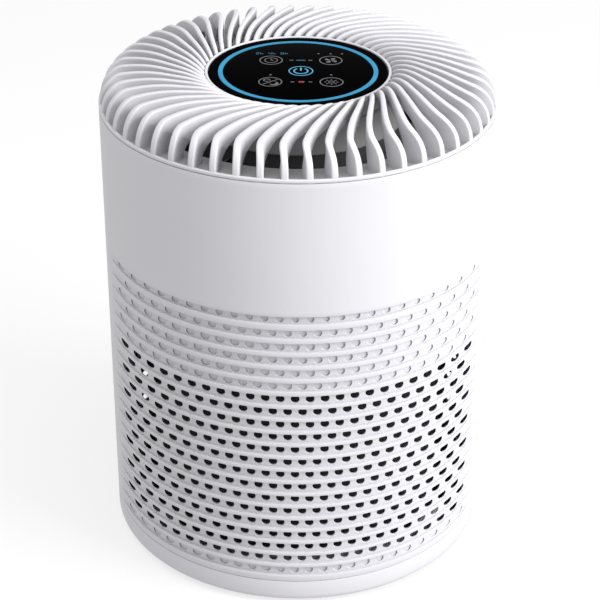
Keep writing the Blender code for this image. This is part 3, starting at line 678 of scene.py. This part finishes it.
def along(points, t):
    """The point at t on a polyline of (t, radius, height)."""
    for (t0, r0, z0), (t1, r1, z1) in zip(points, points[1:]):
        if t <= t1:
            s = (t - t0) / (t1 - t0)
            return r0 + (r1 - r0) * s, z0 + (z1 - z0) * s
    return points[-1][1], points[-1][2]


def fin_upper_edge():
    """Points (radius, height) up from the rim, over the crest and down to the bezel."""
    edge = [(FIN_FOOT_R, FIN_FOOT_Z)]
    rise = FIN_SHOULDER - BEND_Z
    for k in range(BEND_STEPS + 1):
        a = math.radians(BEND_TURN * k / BEND_STEPS)
        edge.append((BEND_R + BEND_REACH * math.cos(a), BEND_Z + rise * math.sin(a)))
    bend_r, bend_z = edge[-1]
    run = bend_r - CREST_FROM
    slope = rise / (BEND_REACH * math.tan(a))
    slow = [91.5 - 3.0 * k for k in range(6)]
    for r in [BEND_R] + slow + [CREST_FROM, 0.5 * (CREST_FROM + CREST_TO)]:
        s = min((bend_r - r) / run, 1.0)
        edge.append((r, bend_z + (FIN_CREST - bend_z) * smooth(s) + slope * run * s * (1.0 - s) ** 2))
    for k in range(CURL_STEPS + 1):
        a = math.radians(90.0 * k / CURL_STEPS)
        edge.append((CREST_TO - CURL_IN * math.sin(a), FIN_CREST - CURL_DROP * (1.0 - math.cos(a))))
    edge.append((CREST_TO - CURL_IN - TIP_IN, FIN_CREST - CURL_DROP - TIP_DROP))
    return edge


def fin_profile():
    """Stations along a fin: upper edge point, the normal there into the fin, lower edge point."""
    edge = fin_upper_edge()
    bend_end = BEND_STEPS + 1
    bend_r, tip_r = edge[bend_end][0], edge[-1][0]
    stations = []
    for i, point in enumerate(edge):
        before = Vector(edge[max(i - 1, 0)])
        after = Vector(edge[min(i + 1, len(edge) - 1)])
        run = (after - before).normalized()
        inward = Vector((-run.y, run.x))
        if i <= bend_end:
            t = BEND_SHARE * i / bend_end
        else:
            t = BEND_SHARE + (1.0 - BEND_SHARE) * (bend_r - point[0]) / (bend_r - tip_r)
        stations.append((Vector(point), inward, Vector(along(FIN_LOWER_EDGE, t))))
    return stations


def fin_vertex(point, offset, first):
    """A point on a fin's curved wall, moved sideways from its middle."""
    radius, height = point
    next_radius = radius - TANGENT_STEP
    angle, next_angle = first + fin_turn(radius), first + fin_turn(next_radius)
    here = Vector((radius * math.cos(angle), radius * math.sin(angle)))
    further = Vector((next_radius * math.cos(next_angle), next_radius * math.sin(next_angle)))
    run = (further - here).normalized()
    return here.x - offset * run.y, here.y + offset * run.x, SEAM_Z + height


def fin_shape(first):
    """One fin: a loft of rounded sections."""
    verts, faces = [], []
    stations = fin_profile()
    for upper, inward, lower in stations:
        half = fin_half(upper.x)
        curve = min(FIN_ROUND, half - 0.1)
        row = []
        for sign in (1, -1):
            side = [(lower, half * FIN_TAPER), (lower + (upper - lower).normalized() * FIN_CHAMFER, half)]
            side += [(upper + inward * curve * deep, half - curve * back) for deep, back in ROUND_CORNER]
            if sign < 0:
                side.reverse()
            row += [fin_vertex(p, sign * off, first) for p, off in side]
        verts.extend(row)
    size = len(verts) // len(stations)
    for s in range(len(stations) - 1):
        for i in range(size):
            j = (i + 1) % size
            a, b = s * size, (s + 1) * size
            faces.append((a + i, a + j, b + j, b + i))
    faces.append(tuple(range(size)))
    faces.append(tuple(range((len(stations) - 1) * size, len(stations) * size)))
    return verts, faces


def make_grille():
    """Rim, swirled fins and the bezel round the panel, and the tray below the fins' feet, coloured grey as
    painted shade from the fins.
    """
    grille = Skin()
    rim = [
        (BODY_R, SEAM_Z), (BODY_R, SEAM_Z + 2.0), (108.2, SEAM_Z + 2.0), (107.6, SEAM_Z + 0.5),
        (107.0, SEAM_Z - 0.3), (103.8, SEAM_Z - 0.6), (103.8, SEAM_Z - 9.0), (106.4, SEAM_Z - 9.0),
        (106.4, SEAM_Z),
    ]
    grille.lathe(rounded(rim, 0.7), RIM_SIDES)
    bezel = [
        (BEZEL_R, SEAM_Z + BEZEL_FOOT), (BEZEL_R - 0.1, SEAM_Z + BEZEL_TOP),
        (BEZEL_INNER_R, SEAM_Z + BEZEL_TOP), (BEZEL_INNER_R - 0.1, SEAM_Z + BEZEL_FOOT),
    ]
    grille.lathe(rounded(bezel, 0.5), RIM_SIDES)
    for k in range(FIN_COUNT):
        grille.add(*fin_shape(-math.pi / 2.0 + (k + 0.5) * math.tau / FIN_COUNT))
    grille.build("swirl_grille", WHITE, "housing", "white_plastic", ["top_grille"], crisp=38.0)
    # The tray is coloured grey as painted shade from the fins over it, not for a grey part.
    tray = [
        (106.9, SEAM_Z + 0.4), (89.5, SEAM_Z - 1.2), (89.5, SEAM_Z - 3.2), (103.9, SEAM_Z - 2.4),
        (106.9, SEAM_Z - 1.0),
    ]
    Skin().lathe(rounded(tray, 0.4), RIM_SIDES).build("inner_tray", TRAY_SHADE, "housing", "grey_plastic")


make_grille()


# ---- what shows between the fins ----
def guide_vane(first):
    """One curved vane from the hub to the outer rim."""
    verts, faces = [], []
    for i in range(VANE_STEPS + 1):
        share = i / VANE_STEPS
        radius = VANE_FROM_R + (VANE_TO_R - VANE_FROM_R) * share
        section = (                 # (degrees of lean, z, half thickness)
            (-5.0, 234.5, 0.6), (0.0, 242.0 - 4.0 * share, 1.0), (5.0, 250.0 - 8.0 * share, 0.5),
        )
        sides = [], []
        for lean, z, half in section:
            middle = first + math.radians(VANE_SWEEP * share ** 2 + lean)
            for sign, side in zip((-1, 1), sides):
                a = middle + sign * half / radius
                side.append((radius * math.cos(a), radius * math.sin(a), z))
        verts += sides[0] + sides[1][::-1]
    size = 6
    for s in range(VANE_STEPS):
        for i in range(size):
            j = (i + 1) % size
            faces.append((s * size + i, s * size + j, (s + 1) * size + j, (s + 1) * size + i))
    faces += [tuple(range(size)), tuple(range(VANE_STEPS * size, (VANE_STEPS + 1) * size))]
    return verts, faces


def make_inner_tower():
    """Grey motor cover, dark duct, black bell mouth and dark bracket with its guide vanes."""
    bottom, top = SEAM_Z - 8.0, SEAM_Z + 5.7
    cone = [
        (59.0, bottom), (54.6, top), (50.0, top), (50.0, top - 2.0), (52.6, top - 2.2), (56.6, bottom),
    ]
    turned = Skin().lathe(rounded(cone, 0.5), TOWER_SIDES)
    turned.build("grey_cone", GREY, "housing", "grey_plastic", ["motor_cover"])

    foot, mouth = 152.8, SEAM_Z - 3.8
    duct = [
        (96.0, foot), (FLANGE_R, foot), (FLANGE_R, foot + 2.5), (98.5, foot + 2.5), (98.5, SEAM_Z - 20.0),
        (92.5, mouth), (90.0, mouth), (96.0, SEAM_Z - 21.0),
    ]
    turned = Skin().lathe(rounded(duct, 1.2), TOWER_SIDES)
    turned.build("duct", DARK, "housing", "black_plastic", ["fan_housing"])

    deck = [
        (FLANGE_R, 150.0), (FLANGE_R, 152.5), (66.0, 152.5), (60.0, 154.0), (56.5, 157.0), (55.0, 160.0),
        (53.0, 160.0), (53.6, 156.6), (56.0, 153.0), (56.0, 150.0),
    ]
    turned = Skin().lathe(rounded(deck, 0.5), DECK_SIDES)
    turned.build("bell_mouth", BLACK, "housing", "black_plastic", ["inlet_ring"])

    hub = Skin()
    low, wall_top = 232.3, SEAM_Z - 8.3
    cup = [
        (5.0, low), (57.0, low), (57.0, wall_top), (54.5, wall_top), (54.5, low + 2.6), (5.0, low + 2.6),
    ]
    hub.lathe(rounded(cup, 1.0), DECK_SIDES)
    rim = [(92.5, 234.0), (95.4, 234.0), (95.4, 243.0), (92.5, 243.0)]
    hub.lathe(rounded(rim, 0.6), DECK_SIDES)
    for k in range(VANE_COUNT):
        hub.add(*guide_vane(math.tau * k / VANE_COUNT))
    hub.build("vane_hub", DARK, "housing", "black_plastic", ["motor_bracket"])


make_inner_tower()


# ---- touch panel ----
def make_panel():
    """Black glass with a lit ring let into it."""
    light_inner = LIGHT_R - LIGHT_WIDTH
    groove_out, groove_in = LIGHT_R + LIGHT_GAP, light_inner - LIGHT_GAP
    top, low, under = GLASS_TOP_Z, GLASS_TOP_Z - LIGHT_DEPTH, GLASS_TOP_Z - GLASS_THICK
    disc = [
        (0.0, under), (GLASS_R, under), (GLASS_R, top), (groove_out, top),
        (groove_out, low), (groove_in, low), (groove_in, top), (0.0, top),
    ]
    turned = Skin().lathe(rounded(disc, 0.25, 3), TOWER_SIDES)
    turned.build("black_disc", GLASS, "housing", "black_glass", ["panel_glass"])
    foot = low + LIGHT_GAP
    guide = [(light_inner, foot), (LIGHT_R, foot), (LIGHT_R, top), (light_inner, top)]
    turned = Skin().lathe(rounded(guide, 0.3, 3), TOWER_SIDES)
    turned.build("glow_ring", GLOW, "housing", "light_guide", ["light_ring"])


def stroke(points, width):
    """Outlines of the straight pieces of a drawn line."""
    shapes = []
    for a, b in zip(points, points[1:]):
        a, b = Vector(a), Vector(b)
        run = (b - a).normalized() * (width / 2.0)
        side = Vector((-run.y, run.x))
        shapes.append([a + side, a - side, b - side, b + side])
    return shapes


def arc(cx, cy, radius, start, end, steps=28):
    """Points along an arc, in degrees."""
    angles = [math.radians(start + (end - start) * k / steps) for k in range(steps + 1)]
    return [(cx + radius * math.cos(a), cy + radius * math.sin(a)) for a in angles]


def band(cx, cy, radius, width, start, end, steps):
    """The outline of an open arc with a width."""
    outside = arc(cx, cy, radius + width / 2, start, end, steps)
    return outside + arc(cx, cy, radius - width / 2, end, start, steps)


class Print:
    """Flat marks on the glass, gathered by colour."""

    def __init__(self):
        self.skin = Skin()

    def flat(self, outline):
        """One flat mark."""
        self.skin.prism([tuple(p) for p in outline], GLASS_TOP_Z - MARK_DOWN, GLASS_TOP_Z + MARK_UP)

    def line(self, points, width):
        """A drawn line."""
        for shape in stroke(points, width):
            self.flat(shape)

    def ring(self, cx, cy, radius, width):
        """A closed ring."""
        z0, z1 = GLASS_TOP_Z - MARK_DOWN, GLASS_TOP_Z + MARK_UP
        a, b = radius - width / 2, radius + width / 2
        self.skin.lathe([(a, z0), (b, z0), (b, z1), (a, z1)], 56, (cx, cy))

    def dot(self, cx, cy, radius):
        """A filled disc."""
        self.flat(arc(cx, cy, radius, 0.0, 360.0, 20)[:-1])

    def bar(self, cx, cy, length, width):
        """A bar with round ends."""
        reach = (length - width) / 2
        right = arc(cx + reach, cy, width / 2, -90.0, 90.0, 8)
        left = arc(cx - reach, cy, width / 2, 90.0, 270.0, 8)
        self.flat(right + left)

    def build(self, name, mat, slot):
        """The finished marks."""
        return self.skin.build(name, mat, "housing", slot)


DIGITS = {2: "abged", 4: "fgbc", 8: "abcdefg"}
SEGMENTS = {
    "a": ((-1, 2), (1, 2)), "b": ((1, 2), (1, 0)), "c": ((1, 0), (1, -2)), "d": ((-1, -2), (1, -2)),
    "e": ((-1, -2), (-1, 0)), "f": ((-1, 0), (-1, 2)), "g": ((-1, 0), (1, 0)),
}


def petal(cx, cy, turn):
    """One blade of the fan symbol."""
    root, length, full, hollow, tip = 0.5, 3.4, 1.5, 0.35, 0.5
    steps = 12
    shares = [k / steps for k in range(steps + 1)]
    outline = [(root + length * t, full * math.sin(math.pi * t) + tip * t) for t in shares]
    outline += [(root + length * t, -hollow * math.sin(math.pi * t)) for t in reversed(shares)]
    c, s = math.cos(turn), math.sin(turn)
    return [(cx + x * c - y * s, cy + x * s + y * c) for x, y in outline]


def timer_digit(teal, digit, x, y):
    """A number of hours in seven strokes, with a small h after it."""
    wide, tall, width = 0.75, 0.62, 0.42
    for name in DIGITS[digit]:
        (x0, y0), (x1, y1) = SEGMENTS[name]
        cx = x - 0.8
        teal.line([(cx + wide * x0, y + tall * y0), (cx + wide * x1, y + tall * y1)], width)
    stem, leg = x + 0.9, x + 2.1
    teal.line([(stem, y + 1.2), (stem, y - 1.2)], width)
    teal.line([(stem, y), (leg, y), (leg, y - 1.2)], width)


def draw_clock(marks, x, y):
    """Timer key: a dial with two hands."""
    marks.ring(x, y, 3.5, FINE_LINE)
    marks.line([(x, y + 2.1), (x, y), (x + 1.6, y)], FINE_LINE)


def draw_fan(marks, x, y):
    """Fan key: four blades."""
    for k in range(4):
        marks.flat(petal(x, y, math.pi / 4 + k * math.pi / 2))


def draw_sleep(marks, x, y):
    """Sleep key: a slash between a curl and a moon."""
    marks.line([(x - 3.9, y - 3.4), (x + 3.9, y + 3.4)], 0.55)
    marks.flat(band(x - 1.9, y + 2.3, 1.7, 0.55, -20.0, 300.0, 24))
    outer = arc(x + 2.0, y - 2.2, 2.5, -160.0, 70.0, 20)
    cut = arc(x + 1.2, y - 1.4, 2.05, 62.0, -152.0, 20)
    marks.flat(outer + cut)


def draw_lamp(marks, x, y):
    """Lamp key: a small ring with rays."""
    marks.ring(x, y, 1.5, FINE_LINE)
    rays = 8
    for k in range(rays):
        a = math.tau * k / rays
        c, s = math.cos(a), math.sin(a)
        marks.line([(x + 2.5 * c, y + 2.5 * s), (x + 3.9 * c, y + 3.9 * s)], FINE_LINE)


def grey_marks(left, right, high, low):
    """The four outer keys and the small marks beside them."""
    grey = Print()
    for x, y in ((left, high), (right, high), (left, low), (right, low)):
        grey.ring(x, y, 6.2, 0.6)
    draw_clock(grey, left, high)
    draw_fan(grey, right, high)
    draw_sleep(grey, left, low)
    draw_lamp(grey, right, low)
    for x in (right - 6.8, right, right + 6.4):
        grey.dot(x, high + 9.9, 0.62)
    for x in (left, right):
        grey.dot(x, low + 10.0, 0.66)
    for x, y, length in ((-5.3, high, 2.2), (5.2, high, 2.2), (-4.6, low, 2.0), (5.2, low, 2.0)):
        grey.bar(KEYS_X + x, y, length, 0.8)
    grey.build("key_marks", INK, "white_plastic")


def make_marks():
    """Keys and legends: timer, fan, power, sleep and lamp, with small marks between."""
    left, right = KEYS_X - KEY_DX, KEYS_X + KEY_DX
    high, low = KEYS_Y + KEY_DY, KEYS_Y - KEY_DY
    grey_marks(left, right, high, low)

    teal = Print()
    for x, digit in ((left - 6.9, 2), (left, 4), (left + 6.9, 8)):
        timer_digit(teal, digit, x, high + 10.1)
    teal.bar(KEYS_X, high, 5.4, 1.0)
    teal.build("timer_legends", TEAL, "light_guide")

    blue = Print()
    blue.ring(KEYS_X, KEYS_Y, 6.5, 0.6)
    blue.flat(band(KEYS_X, KEYS_Y, 3.8, 0.85, 125.0, 415.0, 40))
    blue.line([(KEYS_X, KEYS_Y + 4.6), (KEYS_X, KEYS_Y + 0.4)], 0.95)
    blue.build("power_mark", POWER, "light_guide")

    red = Print()
    red.bar(KEYS_X + 0.3, low, 3.4, 1.9)
    red.build("red_legend", RED, "light_guide")


GLOW = lit("ring_light", (0.005, 0.02, 0.03), (0.03, 0.30, 0.53))
INK = lit("key_ink", (0.06, 0.06, 0.065), (0.06, 0.06, 0.063))
TEAL = lit("teal_light", (0.01, 0.02, 0.02), (0.015, 0.11, 0.19))
POWER = lit("power_light", (0.01, 0.03, 0.05), (0.10, 0.40, 0.60))
RED = lit("red_light", (0.02, 0.01, 0.01), (0.36, 0.02, 0.05))
make_panel()
make_marks()


# ---- base ----
def make_base():
    """Base cover with a soft lower edge, its inner rings and the rubber feet."""
    floor, seam = BASE_FLOOR_Z, BASE_SEAM_Z - SEAM_GAP
    reach, middle = RIB_EDGE
    outside = [(0.0, floor), (52.0, floor), (52.6, floor + 0.8), (56.4, floor + 0.8), (57.0, floor)]
    for k in range(9):
        a = math.radians(-90.0 + 90.0 * k / 8.0)
        radius = BODY_R - BASE_CORNER + BASE_CORNER * math.cos(a)
        outside.append((radius, floor + BASE_CORNER + BASE_CORNER * math.sin(a)))
    inside = [
        (BODY_R, seam - reach), (BODY_R - middle, seam - middle), (BODY_R - reach, seam), (107.5, seam),
        (107.5, 7.0), (97.5, TRAY_FLOOR_Z), (97.5, 25.0), (95.0, 25.0), (95.0, TRAY_FLOOR_Z),
        (87.0, TRAY_FLOOR_Z), (87.0, 13.2), (84.0, 13.2), (84.0, TRAY_FLOOR_Z), (0.0, TRAY_FLOOR_Z),
    ]
    tray = Skin().lathe(outside + inside, BASE_SIDES)
    tray.build("base_tray", WHITE, "cover", "white_plastic", ["base_cover"])
    pad = [(0.0, 0.0), (9.0, 0.0), (9.0, 1.2), (0.0, 1.2)]
    for number in range(1, 5):
        a = math.radians(45.0 + 90.0 * (number - 1))
        centre = (FOOT_CIRCLE_R * math.cos(a), FOOT_CIRCLE_R * math.sin(a))
        foot = Skin().lathe(rounded(pad, 0.4), 48, centre)
        foot.build(f"foot_pad_{number}", RUBBER, "cover", "rubber", [f"rubber_foot_{number}"])


make_base()


# ---- power inlet ----
def make_inlet():
    """Socket in the back: round barrel, centre pin and the block behind the wall."""
    place = Matrix.Translation((0.0, BODY_R, JACK_Z)) @ Matrix.Rotation(math.radians(-90.0), 4, "X")
    half, front, back = 6.0, 99.4, 105.6
    barrel = [(0.0, -6.0), (5.0, -6.0), (5.0, 0.0), (2.8, 0.0), (2.8, -5.0), (0.0, -5.0)]
    socket = Skin().lathe(rounded(barrel, 0.4), 48).moved(place)
    plan = [(-half, front), (half, front), (half, back), (-half, back)]
    block = Skin().prism(plan, JACK_Z - half, JACK_Z + half)
    socket.add(block.verts, block.faces)
    socket.build("dc_socket", BLACK, "housing", "black_plastic", ["power_inlet"])
    pin = [(0.0, -5.0), (0.9, -5.0), (0.9, -1.0), (0.0, -0.6)]
    Skin().lathe(rounded(pin, 0.2, 3), 24).moved(place).build("dc_pin", STEEL, "housing", "steel")


make_inlet()


# ---- pleated filter ----
def make_media():
    """Pleated paper between the carbon layer and the outer net."""
    n = 2 * PLEATS
    verts = []
    for z in (MEDIA_LOW_Z, MEDIA_HIGH_Z):
        for face in (0, 1):
            for k in range(n):
                a = math.pi * k / PLEATS
                radius = (PLEAT_OUT if k % 2 == 0 else PLEAT_IN)[face]
                verts.append((radius * math.cos(a), radius * math.sin(a), z))
    faces = []
    for i in range(n):
        j = (i + 1) % n
        faces.append((i, j, 2 * n + j, 2 * n + i))
        faces.append((n + i, n + j, 3 * n + j, 3 * n + i))
        faces.append((i, j, n + j, n + i))
        faces.append((2 * n + i, 2 * n + j, 3 * n + j, 3 * n + i))
    media = Skin().add(verts, faces)
    media.build("pleated_paper", MEDIA, "housing", "filter_media", ["filter_media"], crisp=20.0)


make_media()


# ---- CAD nodes that keep their shape ----
FINISHES = {
    "panel_cup": BLACK, "control_board": BOARD, "motor_stator": WINDING, "bearing_lower": STEEL,
    "bearing_upper": STEEL, "driver_board": BOARD, "inlet_guard": BLACK,
    "uv_board": BOARD, "uv_lamp": LENS, "impeller": GREY, "rotor_can": STEEL, "rotor_magnet": BLACK,
    "motor_shaft": STEEL, "impeller_nut": STEEL, "filter_gasket": FOAM, "filter_top_cap": BLACK,
    "carbon_layer": CARBON, "filter_core": MESH, "filter_mesh": MESH, "filter_bottom_cap": BLACK,
    "filter_pull_tab": RIBBON,
}
for name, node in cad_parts.items():
    finish = FINISHES.get(name, STEEL if "screw" in name else None)
    if finish is not None:
        node.data.materials.clear()
        node.data.materials.append(finish)


# ---- stage, in metres ----
FLOOR_HALF = 6.0
SKY_STRENGTH = 0.77
CAMERA_PLACE = (0.0015, -0.94466, 0.66694)
CAMERA_TILT = 0.5106                # radians below level
CAMERA_ROLL = 0.004
SENSOR_MM, LENS_MM = 36.0, 110.57


def area(name, place, target, size, power):
    """A square soft light aimed at a point."""
    light = bpy.data.lights.new(name, "AREA")
    light.energy = power
    light.size = size
    obj = bpy.data.objects.new(name, light)
    obj.location = place
    obj.rotation_euler = (Vector(target) - Vector(place)).to_track_quat("-Z", "Y").to_euler()
    bpy.context.scene.collection.objects.link(obj)


def make_stage():
    """Pale floor, soft lights and the camera."""
    scene = bpy.context.scene
    mesh = bpy.data.meshes.new("floor")
    a = FLOOR_HALF
    mesh.from_pydata([(-a, -a, 0.0), (a, -a, 0.0), (a, a, 0.0), (-a, a, 0.0)], [], [(0, 1, 2, 3)])
    floor = bpy.data.objects.new("floor", mesh)
    pale = plain("floor_pale", (0.2, 0.2, 0.2), 0.9, specular=0.0, emission=(1.0, 1.0, 1.0), strength=0.7)
    mesh.materials.append(pale)
    scene.collection.objects.link(floor)

    world = bpy.data.worlds.new("studio")
    scene.world = world
    world.use_nodes = True
    background = world.node_tree.nodes["Background"]
    background.inputs["Color"].default_value = (1.0, 1.0, 1.0, 1.0)
    background.inputs["Strength"].default_value = SKY_STRENGTH
    area("key", (1.5, -0.75, 1.0), (0.0, 0.0, 0.13), 1.1, 50.5)
    area("top", (0.0, -0.4, 1.9), (0.0, 0.0, 0.2), 1.5, 21.0)

    lens = bpy.data.cameras.new("camera")
    lens.sensor_width = SENSOR_MM
    lens.lens = LENS_MM
    camera = bpy.data.objects.new("camera", lens)
    camera.location = CAMERA_PLACE
    aim = Matrix.Rotation(math.pi / 2.0 - CAMERA_TILT, 4, "X") @ Matrix.Rotation(CAMERA_ROLL, 4, "Z")
    camera.rotation_euler = aim.to_euler()
    scene.collection.objects.link(camera)
    scene.camera = camera
    scene.view_settings.view_transform = "Standard"


make_stage()
